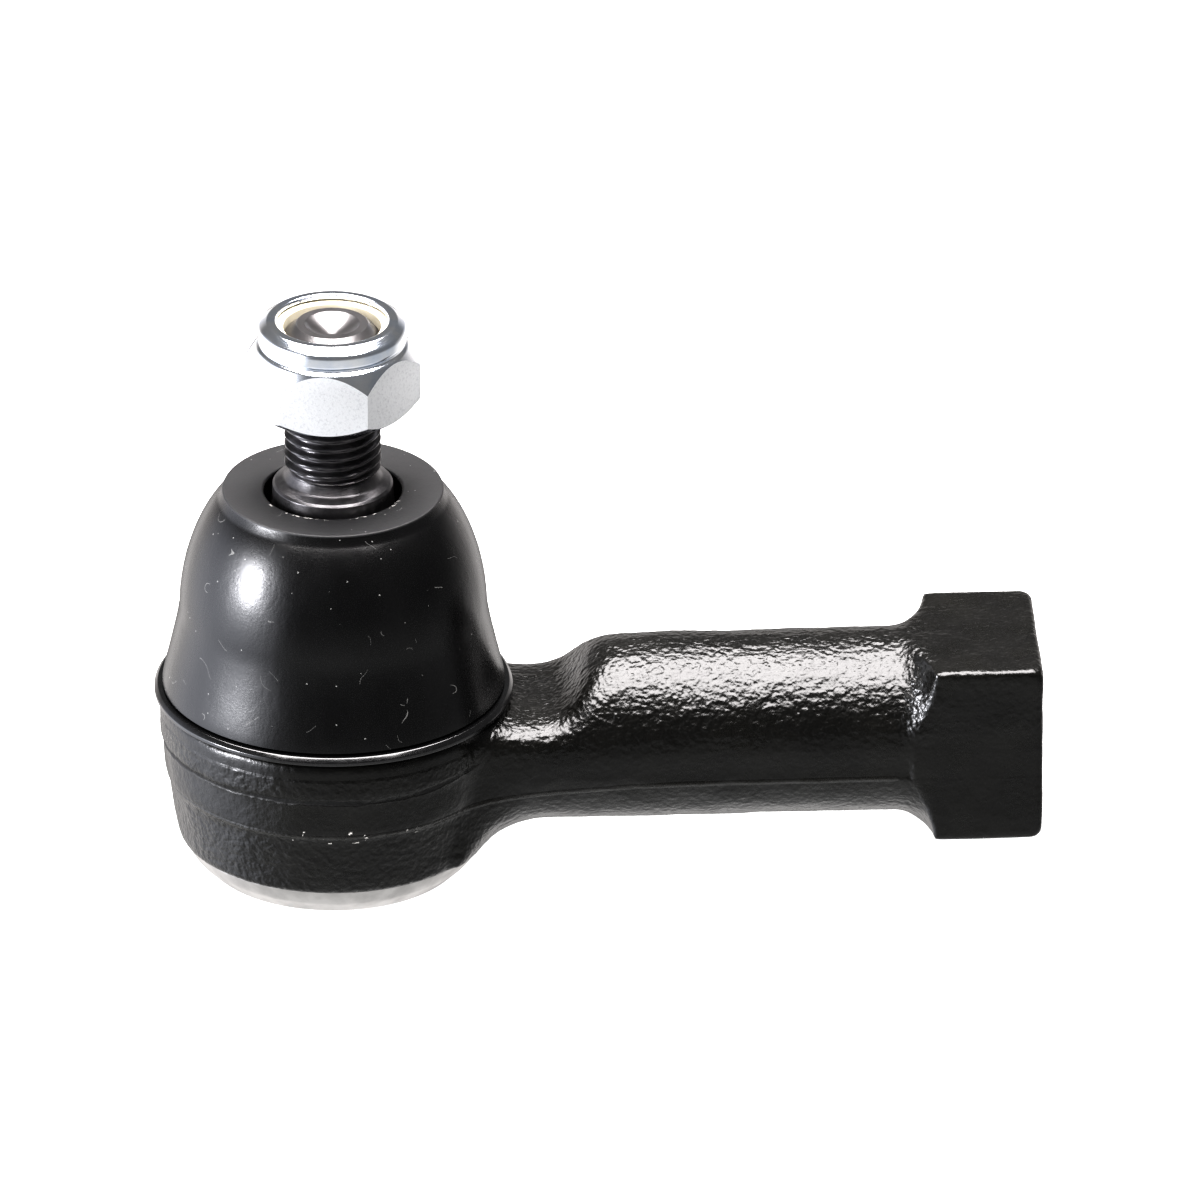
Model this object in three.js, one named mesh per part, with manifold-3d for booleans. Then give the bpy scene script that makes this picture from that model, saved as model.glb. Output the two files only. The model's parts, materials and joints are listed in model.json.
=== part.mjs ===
// Tie rod end: a forged housing with a threaded shank, a sprung ball joint, a rubber dust boot,
// and a tapered stud with its nylon-insert lock nut.
// Millimetres, +Z up. The origin is on the stud axis in the plane of the base, and the shank points along +X.
import * as THREE from 'three';
import * as BufferGeometryUtils from 'three/addons/utils/BufferGeometryUtils.js';
import Module from 'manifold-3d';

const wasm = await Module();
wasm.setup();

// ---------------------------------------------------------------- driving dimensions

// Fits between separate pieces
const gap = 0.3;                    // running and seating clearance
const tiltLimit = 22 * Math.PI / 180;   // how far the stud swings from upright

// Ball stud
const ballDiameter = 22;
const ballFlatDiameter = 9;         // flat on the underside of the ball
const neckDiameter = 12;
const neckFlareHeight = 3.6;        // from the neck out to the taper
const taperLength = 17.2;
const taperSmallDiameter = 14.9;
const taperRatio = 1 / 8;           // on the diameter
const taperChamferHeight = 0.4;
const taperChamfer = 0.3;
const runoutHeight = 1.8;           // concave flare from the taper to the thread
const threadLength = 20.1;
const threadDiameter = 12;          // M12 x 1.25
const threadDepth = 0.4;            // from the crests to the plain core drawn here
const threadEndChamfer = 0.9;
const endCupDiameter = 6.5;
const endCupDepth = 1.6;

// Ball seats and preload
const seatWall = 2;
const seatEdge = 0.8;               // thinnest edge of the lower seat
const seatHoleDiameter = 12;        // opening under the ball
const springHeight = 2.2;
const springThickness = 0.9;
const springRimGap = 0.5;

// Closing plate and the lip that is rolled over it
const plateThickness = 1.8;
const plateDish = 2;                // how far the middle stands below the flange
const plateFlangeGrip = 1.7;        // how far the flange reaches past the ball bore
const lipOverlap = 2.6;
const lipClearance = 1;             // from the lip's bore to the dish

// Socket of the housing
const socketWall = 4;               // outside the closing plate
const lipTurnIn = 3.15;             // how far the rolled lip closes in at the base
const lipBulge = 0.35;
const lowerDraft = 1.45;            // growth in radius up to the trim band
const waistDrop = 0.15;
const waistHeight = 2;
const trimBandBottom = 12.4;
const trimBandHeight = 5;
const trimBandStep = 0.2;
const trimBandDraft = 0.35;
const upperDraft = 0.35;
const shoulderHeight = 7.8;         // above the ball centre
const shoulderChamfer = 0.6;
const spigotHeight = 3.2;
const spigotWall = 3.8;

// Shank and wrench block
const armReach = 87.3;              // from the stud axis to the end face
const shankDiameter = 22.8;
const shankAxisHeight = 16.8;
const shankSideTrim = 0.3;          // flash trimmed off both sides
const blockAcrossFlats = 23.2;
const blockLength = 13.6;
const blockCorner = 1.3;
const blockFillet = 4;
const blockEndChamfer = 0.8;
const neckTopRise = 4.5;            // flat on the neck, above the shank axis
const neckRunEnd = 27.2;            // where the flat starts to rise
const neckRise = 6.2;               // length of the rise up to the round shank
const neckFillet = 8;
const rodThreadBore = 12.4;         // minor diameter of the M14 x 1.5 rod thread
const rodThreadDepth = 42;
const rodThreadMouth = 1;           // chamfer at the mouth

// Dust boot and its rings
const ringThickness = 1;
const ringFlange = 0.7;             // how far the ring stands out of the socket
const ringCollarHeight = 3.2;
const bootFootHeight = 2.4;
const bootBodyHeight = 26.2;
const bootInset = 1;                // from the edge of the base ring to the rubber
const bootWall = 2.2;
const bootTopDiameter = 27.2;
const bootWaistDiameter = 38.1;
const bootWaistHeight = 10.4;
const bootTopThickness = 2.8;
const bootHoleDiameter = 16.9;
const bootSleeveWall = 1.3;
const bootSleeveDepth = 6.4;
const sealLipHeight = 1.8;
const washerThickness = 1;
const washerRimGap = 1.2;           // from the washer's edge to the rubber's inner side
const clipWire = 1.2;
const clipDrop = 1.3;               // from the washer down to the clip

// Lock nut
const nutAcrossFlats = 19;
const nutHeight = 11.6;
const nutHexHeight = 8.6;
const nutGrip = 11;                 // from the underside of the nut to the end of the stud
const nutTurn = 9.5 * Math.PI / 180;    // how the flats happen to stand
const nutTopChamfer = 2.8;          // how far the corners are turned down at each end
const nutBottomChamfer = 1.4;
const nutCollarDiameter = 18.4;
const nutCollarMouth = 13.9;
const nutLipThickness = 0.6;
const nutCollarWall = 1;
const insertHeight = 3.4;

// Facets
const fullTurn = 2 * Math.PI;
const roundFacets = 48;
const innerFacets = 36;
const arcSteps = 6;

// ---------------------------------------------------------------- derived sizes

const ballRadius = ballDiameter / 2;
const seatInnerRadius = ballRadius + gap;
const seatOuterRadius = seatInnerRadius + seatWall;
const cavityRadius = seatOuterRadius + gap;
const seatHoleRadius = seatHoleDiameter / 2;

const plateRadius = cavityRadius + plateFlangeGrip - gap;
const plateSeatRadius = plateRadius + gap;
const lipBoreRadius = plateRadius - lipOverlap;
const dishRadius = lipBoreRadius - lipClearance;
const plateTop = plateDish + plateThickness;
const plateSeatTop = plateTop + gap;

const springBottom = plateThickness + gap;
const seatBottom = springBottom + springHeight + gap;
const ballHeight = seatBottom + seatEdge + Math.sqrt(seatInnerRadius ** 2 - seatHoleRadius ** 2);

const neckRadius = neckDiameter / 2;
const neckSwing = neckRadius + gap;
const throatAngle = tiltLimit + Math.asin(neckSwing / cavityRadius);
const seatEdgeAngle = tiltLimit + Math.asin(neckSwing / ballRadius);
const mouthRise = shoulderHeight + spigotHeight;
const mouthRadius = mouthRise * Math.tan(tiltLimit) + neckSwing / Math.cos(tiltLimit);
const neckRiseTop = mouthRadius * Math.sin(tiltLimit) + mouthRise * Math.cos(tiltLimit) + 2 * gap;

const socketRadius = plateSeatRadius + socketWall;
const bandRadius = socketRadius + lowerDraft - waistDrop;
const shoulderRadius = bandRadius + trimBandStep + trimBandDraft + upperDraft;
const shoulderTop = ballHeight + shoulderHeight;
const spigotTop = shoulderTop + spigotHeight;
const spigotRadius = mouthRadius + spigotWall;

const shankRadius = shankDiameter / 2;
const blockStart = armReach - blockLength;

const ringBottom = shoulderTop + gap;
const ringTop = ringBottom + ringThickness;
const ringRadius = shoulderRadius + ringFlange;
const ringBore = spigotRadius + gap;
const collarRadius = ringBore + ringThickness;

const bootBottom = ringTop + gap;
const bootTop = bootBottom + bootBodyHeight;
const bootFootRadius = ringRadius - bootInset;
const bootHoleRadius = bootHoleDiameter / 2;
const sleeveRadius = bootHoleRadius + bootSleeveWall;

const neckTop = ballHeight + neckRiseTop;
const taperBottom = neckTop + neckFlareHeight;
const taperTop = taperBottom + taperLength;
const taperSmallRadius = taperSmallDiameter / 2;
const taperRadiusAt = z => taperSmallRadius + (taperTop - z) * taperRatio / 2;
const threadCore = threadDiameter / 2 - threadDepth;
const threadStart = taperTop + taperChamferHeight + runoutHeight;
const studTop = threadStart + threadLength;

const nutBottom = studTop - nutGrip;
const nutTop = nutBottom + nutHeight;
const nutBore = threadCore + gap;
const insertTop = nutTop - nutLipThickness - gap;
const insertBottom = insertTop - insertHeight;
const insertSeatRadius = nutCollarDiameter / 2 - nutCollarWall;

// ---------------------------------------------------------------- materials

const finish = (color, roughness, metalness) => new THREE.MeshStandardMaterial({ color, roughness, metalness });

const paintedForging = () => finish(0x16161a, 0.35, 0.2);
const phosphatedSteel = () => finish(0x2b2c2e, 0.45, 0.8);
const zincSteel = () => finish(0xc9ced3, 0.3, 0.9);
const bareSteel = () => finish(0x9b9da0, 0.35, 0.9);
const springSteel = () => finish(0x55585c, 0.4, 0.9);
const blackSteel = () => finish(0x101012, 0.25, 0.6);
const bootRubber = () => finish(0x17181b, 0.55, 0);
const bearingPlastic = () => finish(0xe6e2d6, 0.5, 0);
const nylon = () => finish(0xd9d2b4, 0.5, 0);

// ---------------------------------------------------------------- geometry helpers

// Points on an arc in the profile plane, with the angle measured up from the +r direction.
function arc(centreR, centreZ, radius, from, to, steps = arcSteps) {
  const points = [];
  for (let i = 0; i <= steps; i++) {
    const angle = from + (to - from) * i / steps;
    points.push([centreR + radius * Math.cos(angle), centreZ + radius * Math.sin(angle)]);
  }
  return points;
}

// A solid of revolution about Z from a closed outline of [radius, height] points, taken upwards outside.
function revolve(outline, facets = roundFacets) {
  const points = outline.map(([r, z]) => new THREE.Vector2(Math.max(r, 0), z));
  const [first] = points;
  if (points.some(point => point.x > 0 && point.equals(first)) || first.x > 0) points.push(first.clone());
  const geometry = new THREE.LatheGeometry(points, facets);
  return geometry.rotateX(Math.PI / 2);
}

// The same about an axis along +X, at the height of the shank, from [radius, x] points.
function revolveAlongShank(outline, facets = roundFacets) {
  return revolve(outline, facets).rotateY(Math.PI / 2).translate(0, 0, shankAxisHeight);
}

function extrude(shape, depth, curveSegments = arcSteps) {
  return new THREE.ExtrudeGeometry(shape, { depth, bevelEnabled: false, curveSegments });
}

function solid(geometry) {
  const bare = geometry.clone();
  bare.deleteAttribute('normal');
  bare.deleteAttribute('uv');
  const merged = BufferGeometryUtils.mergeVertices(bare, 1e-4);
  const triVerts = dropThin(merged.index.array);
  const vertProperties = new Float32Array(merged.attributes.position.array);
  return new wasm.Manifold(new wasm.Mesh({ numProp: 3, vertProperties, triVerts }));
}

// Triangles that lost a corner when the vertices were merged, as at the poles of a lathe.
function dropThin(index) {
  const kept = [];
  for (let i = 0; i < index.length; i += 3) {
    const [a, b, c] = [index[i], index[i + 1], index[i + 2]];
    if (a !== b && b !== c && c !== a) kept.push(a, b, c);
  }
  return new Uint32Array(kept);
}

function geometryOf(manifold) {
  const { vertProperties, triVerts } = manifold.getMesh();
  const geometry = new THREE.BufferGeometry();
  geometry.setAttribute('position', new THREE.BufferAttribute(new Float32Array(vertProperties), 3));
  geometry.setIndex(new THREE.BufferAttribute(new Uint32Array(triVerts), 1));
  return geometry;
}

function piece(name, geometry, material) {
  const mesh = new THREE.Mesh(geometry, material);
  mesh.name = name;
  mesh.geometry.computeVertexNormals();
  return mesh;
}

// ---------------------------------------------------------------- housing

function socketOutside() {
  const bandTop = trimBandBottom + trimBandHeight;
  const lipMiddle = [socketRadius - lipTurnIn / 2 + lipBulge, plateSeatTop / 2 - lipBulge];
  return revolve([
    [0, 0],
    [socketRadius - lipTurnIn, 0],
    lipMiddle,
    [socketRadius, plateSeatTop],
    [socketRadius - waistDrop, plateSeatTop + waistHeight],
    [bandRadius, trimBandBottom],
    [bandRadius + trimBandStep, trimBandBottom],
    [bandRadius + trimBandStep + trimBandDraft, bandTop],
    [shoulderRadius, shoulderTop - shoulderChamfer],
    [shoulderRadius - shoulderChamfer, shoulderTop],
    [spigotRadius, shoulderTop],
    [spigotRadius, spigotTop],
    [0, spigotTop],
  ]);
}

// The room for the closing plate, the ball seats and the swinging neck.
function socketInside() {
  const below = -1;
  const above = 1;
  const mouthSlope = Math.tan(tiltLimit);
  return revolve([
    [0, below],
    [lipBoreRadius, below],
    [lipBoreRadius, plateDish - gap],
    [plateSeatRadius, plateDish - gap],
    [plateSeatRadius, plateSeatTop],
    [cavityRadius, plateSeatTop],
    ...arc(0, ballHeight, cavityRadius, 0, Math.PI / 2 - throatAngle),
    [mouthRadius + above * mouthSlope, spigotTop + above],
    [0, spigotTop + above],
  ], innerFacets);
}

function shankRound() {
  const filletEnd = shankRadius + blockFillet;
  const corner = blockAcrossFlats / Math.SQRT2;
  return revolveAlongShank([
    [0, 0],
    [shankRadius, 0],
    ...arc(filletEnd, blockStart - blockFillet, blockFillet, Math.PI, Math.PI / 2, arcSteps / 2),
    [corner, blockStart],
    [corner, armReach - blockEndChamfer],
    [corner - blockEndChamfer, armReach],
    [0, armReach],
  ]);
}

function roundedSquare(across, corner) {
  const half = across / 2;
  const shape = new THREE.Shape();
  shape.moveTo(half - corner, -half);
  shape.absarc(half - corner, corner - half, corner, -Math.PI / 2, 0);
  shape.absarc(half - corner, half - corner, corner, 0, Math.PI / 2);
  shape.absarc(corner - half, half - corner, corner, Math.PI / 2, Math.PI);
  shape.absarc(corner - half, corner - half, corner, Math.PI, 1.5 * Math.PI);
  return shape;
}

function wrenchSquare() {
  const square = extrude(roundedSquare(blockAcrossFlats, blockCorner), armReach + 2, arcSteps / 2);
  return square.rotateY(Math.PI / 2).translate(-1, 0, shankAxisHeight);
}

// Everything under the flat of the neck, which rises in an S to clear the round shank.
function underNeckFlat() {
  const flat = shankAxisHeight + neckTopRise;
  const high = shankAxisHeight + blockAcrossFlats;
  const risen = shankAxisHeight + shankRadius + gap;
  const low = shankAxisHeight - blockAcrossFlats;
  const riseEnd = neckRunEnd + neckRise;
  const side = new THREE.Shape();
  side.moveTo(-1, low);
  side.lineTo(armReach + 1, low);
  side.lineTo(armReach + 1, high);
  side.lineTo(riseEnd, high);
  side.lineTo(riseEnd, risen);
  side.bezierCurveTo(riseEnd - neckRise / 2, risen, neckRunEnd + neckRise / 2, flat, neckRunEnd, flat);
  side.lineTo(-1, flat);
  return extrude(side, 2 * blockAcrossFlats).rotateX(Math.PI / 2).translate(0, blockAcrossFlats, 0);
}

// The neck widens into the socket: the plan gives the side fillets, the trumpet those below.
function neckPlan() {
  const fillet = neckFillet;
  const side = shankRadius - shankSideTrim;
  const wall = bandRadius;
  const centreX = Math.sqrt((wall + fillet) ** 2 - (side + fillet) ** 2);
  const centreY = side + fillet;
  const touch = Math.atan2(centreY, centreX);
  const plan = new THREE.Shape();
  plan.moveTo(0, -side);
  plan.lineTo(wall * Math.cos(touch), -wall * Math.sin(touch));
  plan.absarc(centreX, -centreY, fillet, Math.PI - touch, Math.PI / 2, true);
  plan.lineTo(neckRunEnd, -side);
  plan.lineTo(neckRunEnd, side);
  plan.absarc(centreX, centreY, fillet, -Math.PI / 2, touch - Math.PI, true);
  plan.lineTo(0, side);
  const bottom = plateSeatTop + gap;
  return extrude(plan, shankAxisHeight + neckTopRise - bottom).translate(0, 0, bottom);
}

function neckTrumpet() {
  const start = bandRadius - neckFillet / 2;
  return revolveAlongShank([
    [0, 0],
    [shankRadius + neckFillet, 0],
    ...arc(shankRadius + neckFillet, start + neckFillet, neckFillet, 1.5 * Math.PI, Math.PI),
    [shankRadius, neckRunEnd],
    [0, neckRunEnd],
  ]);
}

function sideTrimmings() {
  const length = blockStart - blockFillet;
  const trim = new THREE.BoxGeometry(length, shankRadius, shankDiameter);
  const middle = shankRadius - shankSideTrim + shankRadius / 2;
  const sides = [-1, 1].map(side => solid(trim.clone().translate(length / 2, side * middle, shankAxisHeight)));
  return sides[0].add(sides[1]);
}

function rodThreadHole() {
  const radius = rodThreadBore / 2;
  const bottom = armReach - rodThreadDepth;
  return revolveAlongShank([
    [0, bottom - radius / 2],
    [radius, bottom],
    [radius, armReach - rodThreadMouth],
    [radius + rodThreadMouth, armReach],
    [radius + rodThreadMouth, armReach + 1],
    [0, armReach + 1],
  ], innerFacets);
}

function housing() {
  const arm = solid(shankRound()).intersect(solid(wrenchSquare())).subtract(sideTrimmings())
    .intersect(solid(underNeckFlat()));
  const neck = solid(neckPlan()).intersect(solid(neckTrumpet()));
  const forging = solid(socketOutside()).add(arm).add(neck)
    .subtract(solid(socketInside())).subtract(solid(rodThreadHole()));
  return piece('housing', geometryOf(forging), paintedForging());
}

// ---------------------------------------------------------------- ball seats, spring and plate

function upperBearingSeat() {
  const split = ballHeight + gap / 2;
  const start = Math.asin(gap / 2 / seatInnerRadius);
  const edge = Math.PI / 2 - seatEdgeAngle;
  return piece('upper_bearing_seat', revolve([
    ...arc(0, ballHeight, seatInnerRadius, edge, start),
    [seatOuterRadius, split],
    ...arc(0, ballHeight, seatOuterRadius, 2 * start, edge),
  ], innerFacets), bearingPlastic());
}

function lowerBearingSeat() {
  const split = ballHeight - gap / 2;
  const start = -Math.asin(gap / 2 / seatInnerRadius);
  const edge = -Math.acos(seatHoleRadius / seatInnerRadius);
  return piece('lower_bearing_seat', revolve([
    [seatHoleRadius, seatBottom],
    [seatOuterRadius, seatBottom],
    [seatOuterRadius, split],
    ...arc(0, ballHeight, seatInnerRadius, start, edge),
  ], innerFacets), bearingPlastic());
}

function preloadSpring() {
  const inner = seatHoleRadius + springRimGap;
  const outer = dishRadius - plateThickness / 2 - springRimGap;
  const rise = springHeight - springThickness;
  return piece('preload_spring', revolve([
    [inner, springBottom + rise],
    [outer, springBottom],
    [outer, springBottom + springThickness],
    [inner, springBottom + rise + springThickness],
  ], innerFacets), springSteel());
}

function closingPlate() {
  const wall = plateThickness / 2;
  return piece('closing_plate', revolve([
    [0, 0],
    [dishRadius - wall, 0],
    [dishRadius, wall],
    [dishRadius, plateDish],
    [plateRadius, plateDish],
    [plateRadius, plateTop],
    [dishRadius - wall + gap, plateTop],
    [dishRadius - wall, plateThickness],
    [0, plateThickness],
  ], innerFacets), bareSteel());
}

// ---------------------------------------------------------------- ball stud

function ballStud() {
  const flatRadius = ballFlatDiameter / 2;
  const lowest = -Math.acos(flatRadius / ballRadius);
  const neckMeets = Math.acos(neckRadius / ballRadius);
  const chamferTop = taperTop + taperChamferHeight;
  const chamferRadius = taperSmallRadius - taperChamfer;
  const cupRadius = endCupDiameter / 2;
  return piece('ball_stud', revolve([
    [0, ballHeight + ballRadius * Math.sin(lowest)],
    ...arc(0, ballHeight, ballRadius, lowest, neckMeets, 2 * arcSteps),
    [neckRadius, neckTop],
    [taperRadiusAt(taperBottom), taperBottom],
    [taperSmallRadius, taperTop],
    [chamferRadius, chamferTop],
    [(chamferRadius + threadCore) / 2 - taperChamfer / 4, chamferTop + runoutHeight / 3],
    [threadCore, threadStart],
    [threadCore, studTop - threadEndChamfer],
    [threadCore - threadEndChamfer, studTop],
    [cupRadius, studTop],
    [0, studTop - endCupDepth],
  ], innerFacets), phosphatedSteel());
}

// ---------------------------------------------------------------- dust boot and its rings

function bootBaseRing() {
  return piece('boot_base_ring', revolve([
    [ringBore, ringBottom],
    [ringRadius, ringBottom],
    [ringRadius, ringTop],
    [collarRadius, ringTop],
    [collarRadius, ringTop + ringCollarHeight],
    [ringBore, ringTop + ringCollarHeight],
  ]), blackSteel());
}

// The rubber's outer side, from its foot over the waist to the rim of the flat top.
function bootSide(inset) {
  const waistRadius = bootWaistDiameter / 2 - inset;
  const waist = bootBottom + bootWaistHeight;
  const foot = new THREE.Vector2(bootFootRadius - inset, bootBottom);
  const middle = new THREE.Vector2(waistRadius, waist);
  const rim = new THREE.Vector2(bootTopDiameter / 2 - inset / 2, bootTop - inset);
  const spread = foot.x - middle.x;
  const skirt = new THREE.QuadraticBezierCurve(
    foot, new THREE.Vector2(waistRadius + spread * 0.2, waist - bootWaistHeight * 0.4), middle);
  const dome = new THREE.CubicBezierCurve(
    middle, new THREE.Vector2(waistRadius - spread * 0.1, waist + bootWaistHeight * 0.75),
    new THREE.Vector2(rim.x + spread, rim.y - spread * 0.8), rim);
  return [...skirt.getPoints(4), ...dome.getPoints(arcSteps).slice(1)].map(point => [point.x, point.y]);
}

// The inner side of the rubber between its foot and the underside of its top.
function bootInside() {
  const foot = bootBottom + bootFootHeight;
  const underTop = bootTop - bootTopThickness;
  return bootSide(bootWall).filter(([, z]) => z > foot && z < underTop - gap);
}

function dustBoot() {
  const sleeveBottom = bootTop - bootSleeveDepth;
  const lipRadius = taperRadiusAt(sleeveBottom) + gap;
  const footBore = collarRadius + gap;
  const underTop = bootTop - bootTopThickness;
  const inside = bootInside().reverse();
  return piece('dust_boot', revolve([
    [footBore, bootBottom],
    ...bootSide(0),
    [bootHoleRadius, bootTop],
    [bootHoleRadius, sleeveBottom + 2 * sealLipHeight],
    [lipRadius, sleeveBottom + sealLipHeight],
    [lipRadius, sleeveBottom],
    [sleeveRadius, sleeveBottom],
    [sleeveRadius, underTop],
    [inside[0][0] - gap, underTop],
    ...inside,
    [footBore, bootBottom + bootFootHeight],
  ]), bootRubber());
}

function bootTopRing() {
  const top = bootTop - bootTopThickness - gap;
  const inner = sleeveRadius + gap;
  const outer = bootInside().at(-1)[0] - washerRimGap;
  return piece('boot_top_ring', revolve([
    [inner, top - washerThickness],
    [outer, top - washerThickness],
    [outer, top],
    [inner, top],
  ], innerFacets), springSteel());
}

function bootLipClip() {
  const wire = clipWire / 2;
  const height = bootTop - bootTopThickness - gap - washerThickness - clipDrop;
  return piece('boot_lip_clip',
    revolve(arc(sleeveRadius + gap + wire, height, wire, 0, fullTurn).slice(0, -1), innerFacets), springSteel());
}

// ---------------------------------------------------------------- lock nut

// Both ends of a hexagon are turned to a cone, which gives the flats their curved ends.
function nutTurning() {
  const corner = nutAcrossFlats / Math.sqrt(3);
  const flat = nutAcrossFlats / 2;
  const hexTop = nutBottom + nutHexHeight;
  const collar = nutCollarDiameter / 2;
  const mouth = nutCollarMouth / 2;
  return revolve([
    [0, nutBottom],
    [flat, nutBottom],
    [corner, nutBottom + nutBottomChamfer],
    [corner, hexTop - nutTopChamfer],
    [flat, hexTop],
    [collar, hexTop],
    [collar, nutTop - 2 * nutLipThickness],
    [(collar + mouth) / 2 + nutLipThickness / 2, nutTop],
    [mouth, nutTop],
    [0, nutTop],
  ]);
}

function nutHexagon() {
  const corner = nutAcrossFlats / Math.sqrt(3);
  const hexagon = new THREE.Shape();
  for (let i = 0; i < 6; i++) {
    const angle = (i + 0.5) * fullTurn / 6 - Math.PI / 2 - nutTurn;
    const [x, y] = [corner * Math.cos(angle), corner * Math.sin(angle)];
    if (i === 0) hexagon.moveTo(x, y);
    else hexagon.lineTo(x, y);
  }
  return extrude(hexagon, nutHeight + 2).translate(0, 0, nutBottom - 1);
}

function nutRecess() {
  const mouth = nutCollarMouth / 2;
  return revolve([
    [0, nutBottom - 1],
    [nutBore, nutBottom - 1],
    [nutBore, insertBottom - gap],
    [insertSeatRadius, insertBottom - gap],
    [insertSeatRadius, nutTop - nutLipThickness],
    [mouth, nutTop - nutLipThickness],
    [mouth, nutTop + 1],
    [0, nutTop + 1],
  ], innerFacets);
}

function nutBody() {
  const nut = solid(nutTurning()).intersect(solid(nutHexagon())).subtract(solid(nutRecess()));
  return piece('nut_body', geometryOf(nut), zincSteel());
}

function nylonInsert() {
  const outer = insertSeatRadius - gap;
  return piece('nylon_insert', revolve([
    [nutBore, insertBottom],
    [outer, insertBottom],
    [outer, insertTop],
    [nutBore, insertTop],
  ], innerFacets), nylon());
}

// ---------------------------------------------------------------- assembly

const tieRodEnd = new THREE.Group();
tieRodEnd.add(housing(), upperBearingSeat(), lowerBearingSeat(), preloadSpring(), closingPlate());

const boot = new THREE.Group();
boot.add(dustBoot(), bootBaseRing(), bootTopRing(), bootLipClip());
tieRodEnd.add(boot);

const stud = new THREE.Group();
stud.add(ballStud(), nutBody(), nylonInsert());
tieRodEnd.add(stud);

export default tieRodEnd;
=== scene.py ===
"""Tie rod end: the fine surfaces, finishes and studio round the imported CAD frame."""

import json
import math

import bpy
from bpy.props import FloatProperty, FloatVectorProperty, PointerProperty
from mathutils import Euler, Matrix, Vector


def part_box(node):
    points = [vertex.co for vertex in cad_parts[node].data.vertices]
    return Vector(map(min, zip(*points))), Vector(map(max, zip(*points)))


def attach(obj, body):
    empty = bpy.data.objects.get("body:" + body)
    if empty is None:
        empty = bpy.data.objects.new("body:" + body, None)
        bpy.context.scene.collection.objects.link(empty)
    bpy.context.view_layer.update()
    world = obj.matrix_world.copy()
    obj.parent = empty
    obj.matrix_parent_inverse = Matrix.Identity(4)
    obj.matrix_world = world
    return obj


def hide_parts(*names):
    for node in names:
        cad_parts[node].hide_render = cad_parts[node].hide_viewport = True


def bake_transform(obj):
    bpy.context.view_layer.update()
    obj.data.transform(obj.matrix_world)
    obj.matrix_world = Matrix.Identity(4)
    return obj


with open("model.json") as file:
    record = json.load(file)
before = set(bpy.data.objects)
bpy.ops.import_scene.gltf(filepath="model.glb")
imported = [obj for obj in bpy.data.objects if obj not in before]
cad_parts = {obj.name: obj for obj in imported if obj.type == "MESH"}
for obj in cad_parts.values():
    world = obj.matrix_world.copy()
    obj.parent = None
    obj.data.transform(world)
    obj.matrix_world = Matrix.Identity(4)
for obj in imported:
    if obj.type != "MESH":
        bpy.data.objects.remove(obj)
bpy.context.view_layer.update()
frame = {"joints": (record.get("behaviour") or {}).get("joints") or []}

bl_info = {
    "name": "Tie Rod End",
    "version": (1, 0, 0),
    "blender": (4, 5, 0),
    "location": "View3D > Sidebar > Tie Rod End",
    "description": "Models a tie rod end: forging, ball stud, dust boot, lock nut and studio",
    "category": "Object",
}

MM = 0.001
TURN = 2 * math.pi
THREAD_DEPTH = 0.6134               # of a thread's flanks, in pitches

# Places taken from the frame
TILT = next(joint for joint in frame["joints"] if joint["name"] == "stud_tilt")
BALL_HEIGHT = TILT["pos_m"][2]
HOUSING_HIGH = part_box("housing")[1]
STUD_LOW, STUD_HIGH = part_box("ball_stud")
BOOT_LOW, BOOT_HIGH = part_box("dust_boot")
RING_LOW, RING_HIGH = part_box("boot_base_ring")
PLATE_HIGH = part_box("closing_plate")[1]
NUT_LOW, NUT_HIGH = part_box("nut_body")
INSERT_LOW, INSERT_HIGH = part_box("nylon_insert")
WASHER_LOW, WASHER_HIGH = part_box("boot_top_ring")
CLIP_LOW, CLIP_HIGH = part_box("boot_lip_clip")
SPRING_LOW, SPRING_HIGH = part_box("preload_spring")
UPPER_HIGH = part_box("upper_bearing_seat")[1]
LOWER_LOW, LOWER_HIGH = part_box("lower_bearing_seat")


# -------------------------------- settings

def length(name, description, millimetres):
    return FloatProperty(name=name, description=description, default=millimetres * MM,
                         min=0, subtype="DISTANCE", unit="LENGTH")


def colour(name, description, rgb):
    return FloatVectorProperty(name=name, description=description, default=rgb, size=3,
                               min=0, max=1, subtype="COLOR")


class TIEROD_PG_forging(bpy.types.PropertyGroup):
    shank_diameter: length("Shank diameter", "Diameter of the round shank", 22.8)
    block_across: length("Block across flats", "Width of the square wrench block", 23.2)
    block_length: length("Block length", "Length of the wrench block", 13.6)
    grain: length("Mesh grain", "Size of the facets that the fused forging gets", 0.42)
    paint: colour("Paint", "Gloss paint over the forging", (0.0021, 0.002, 0.0016))
    bare: colour("Bare steel", "Rolled lip and threads", (0.5, 0.49, 0.48))


class TIEROD_PG_stud(bpy.types.PropertyGroup):
    thread_diameter: length("Thread diameter", "Over the crests", 11.95)
    thread_pitch: length("Thread pitch", "Distance between crests", 1.25)
    phosphate: colour("Phosphate", "Black phosphated steel", (0.075, 0.073, 0.075))


class TIEROD_PG_nut(bpy.types.PropertyGroup):
    across_flats: length("Across flats", "Size of the hexagon", 19)
    collar_diameter: length("Collar diameter", "Outside of the rolled collar", 18.4)
    zinc: colour("Zinc", "Bright plating", (0.9, 0.92, 0.95))
    nylon: colour("Nylon", "Locking insert", (0.55, 0.51, 0.4))


class TIEROD_PG_boot(bpy.types.PropertyGroup):
    wall: length("Wall", "Thickness of the rubber", 2.2)
    top_diameter: length("Top diameter", "Across the rim of the flat top", 27.2)
    rubber: colour("Rubber", "Moulded rubber", (0.0014, 0.0014, 0.0015))
    ring: colour("Ring", "Coated steel ring under the boot", (0.003, 0.003, 0.0032))


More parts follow.
